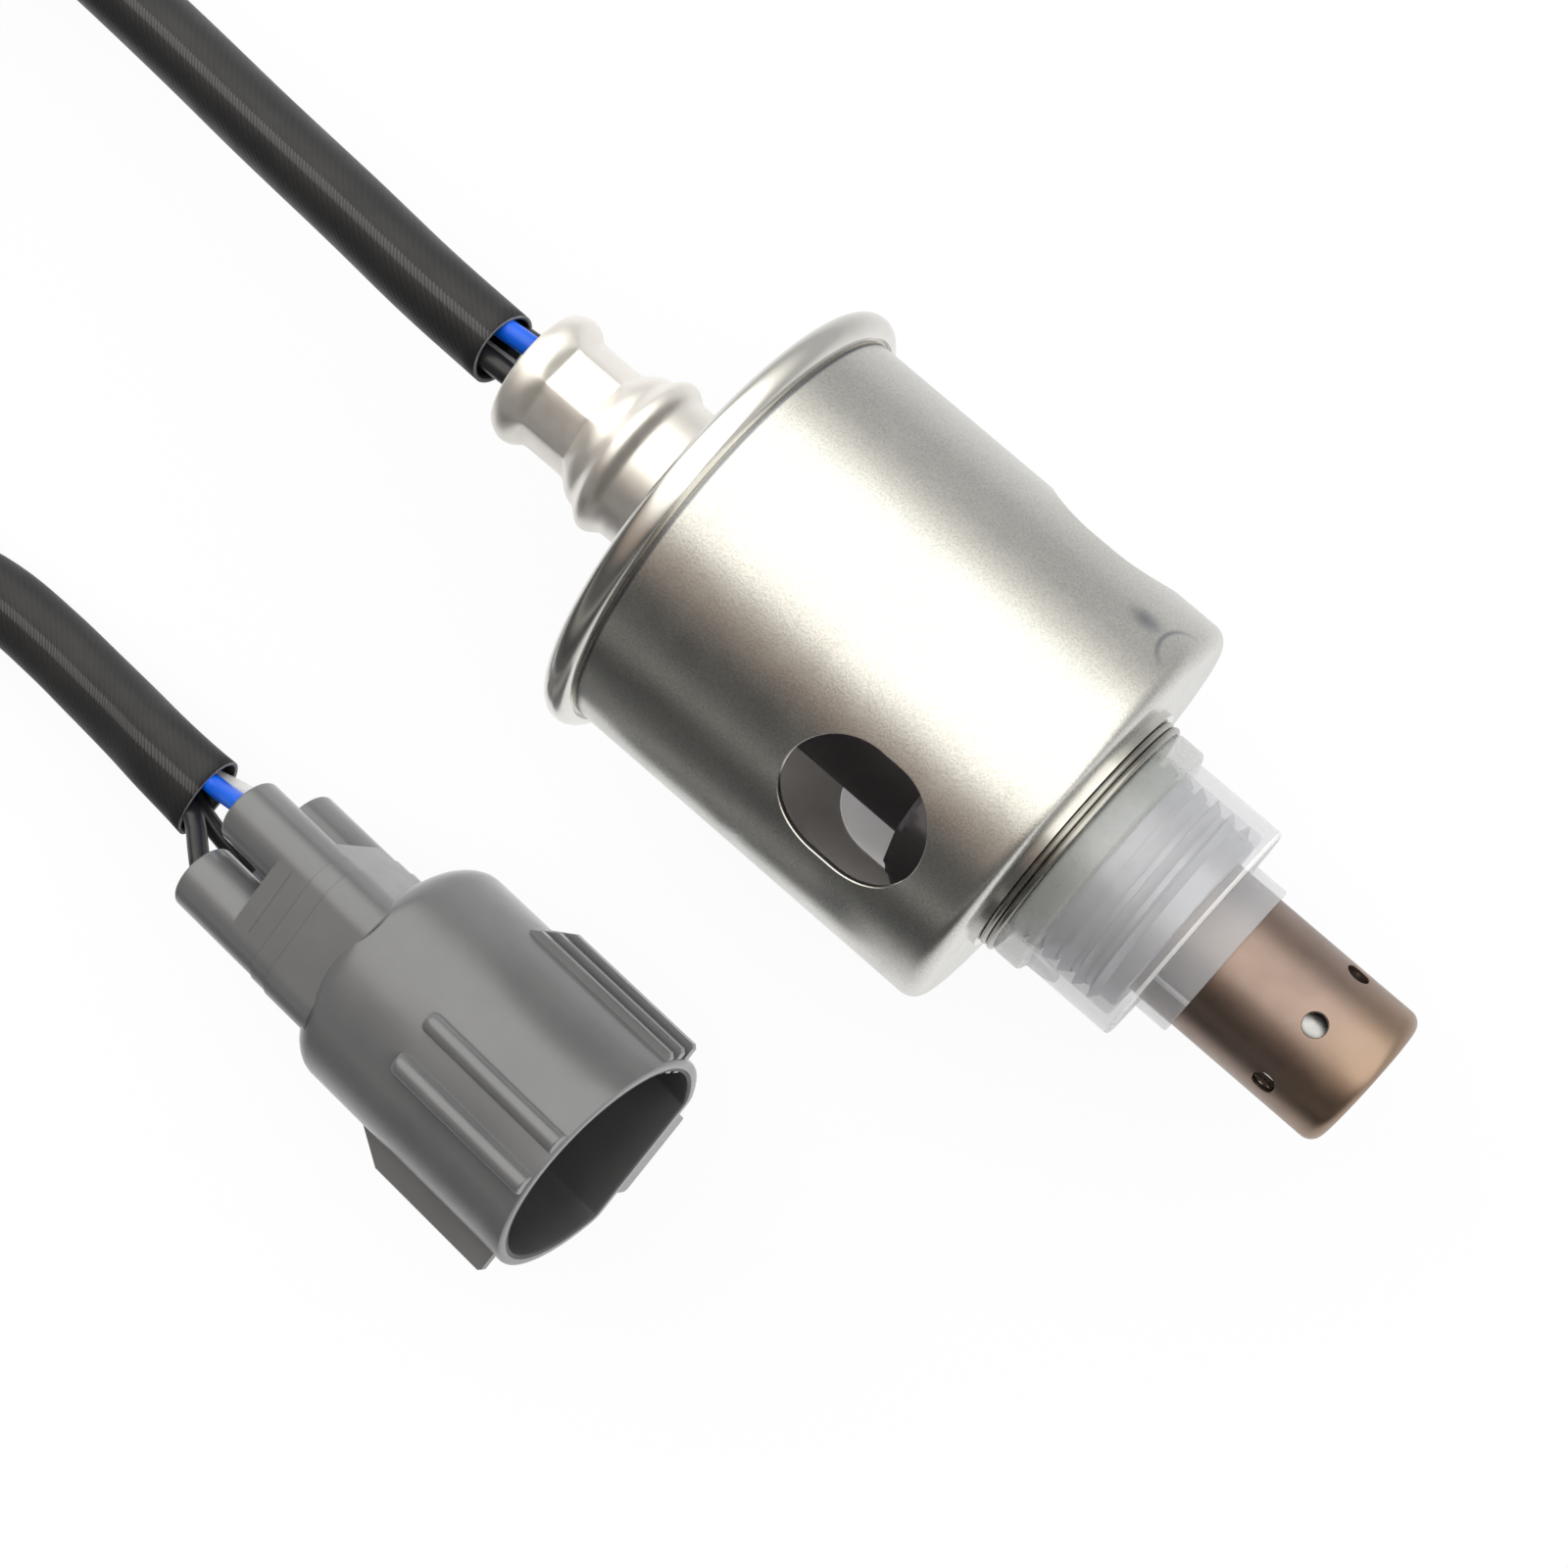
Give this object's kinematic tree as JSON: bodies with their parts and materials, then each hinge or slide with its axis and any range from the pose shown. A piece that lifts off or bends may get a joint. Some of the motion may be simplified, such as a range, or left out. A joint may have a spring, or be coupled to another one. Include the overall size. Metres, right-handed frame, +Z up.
{
  "type": "oxygen sensor",
  "caption": "Heated exhaust oxygen sensor with cup-shaped heat shield, milky thread cap, sleeved four-wire lead and grey plug.",
  "frame": {"origin": "on the floor under the middle of the sensor's own box, lead and plug left out", "axes": "+X towards the sensor's tip, +Y to the left of the sensor as seen from its lead, +Z up from the floor"},
  "size_m": [0.2453, 0.0921, 0.0408],
  "materials": {
    "shield_steel": "satin drawn stainless steel with fine grain",
    "ring_steel": "plain turned steel",
    "gasket_steel": "bright folded sheet",
    "shell_steel": "zinc-plated turned steel",
    "tinted_steel": "heat-tinted bronze-brown steel",
    "zirconia": null,
    "alumina": null,
    "talc": null,
    "terminal_metal": "plated spring metal",
    "filter_plastic": "porous white plastic",
    "cover_steel": "polished stainless steel",
    "black_rubber": "matt black",
    "milky_plastic": "milky translucent soft plastic",
    "blue_insulation": "smooth insulation",
    "white_insulation": "smooth insulation",
    "black_insulation": "smooth insulation",
    "woven_sleeve": "charcoal woven and coated glass-fibre sleeve",
    "plug_plastic": "mid-grey moulded plastic",
    "seal_rubber": "matt silicone",
    "retainer_plastic": "moulded plastic"
  },
  "bodies": {
    "root": {"heat_shield": "shield_steel", "retaining_ring": "ring_steel", "crush_gasket": "gasket_steel", "sensor_shell": "shell_steel", "outer_protector": "tinted_steel", "inner_protector": "ring_steel", "sensing_element": "zirconia", "heater_rod": "alumina", "talc_ring": "talc", "ceramic_ring": "alumina", "crimp_ring": "shell_steel", "ceramic_insulator": "alumina", "contact_terminals": "terminal_metal", "filter_sleeve": "filter_plastic", "rear_cover": "cover_steel", "rubber_grommet": "black_rubber", "protective_cap": "milky_plastic", "wire_blue": "blue_insulation", "wire_white": "white_insulation", "wire_black_a": "black_insulation", "wire_black_b": "black_insulation", "sleeve_sensor_end": "woven_sleeve", "sleeve_plug_end": "woven_sleeve", "lead_coil": "woven_sleeve", "coil_tie": "black_rubber", "plug_housing": "plug_plastic", "plug_blades": "terminal_metal", "plug_seals": "seal_rubber", "plug_retainer": "retainer_plastic"}
  },
  "joints": []
}
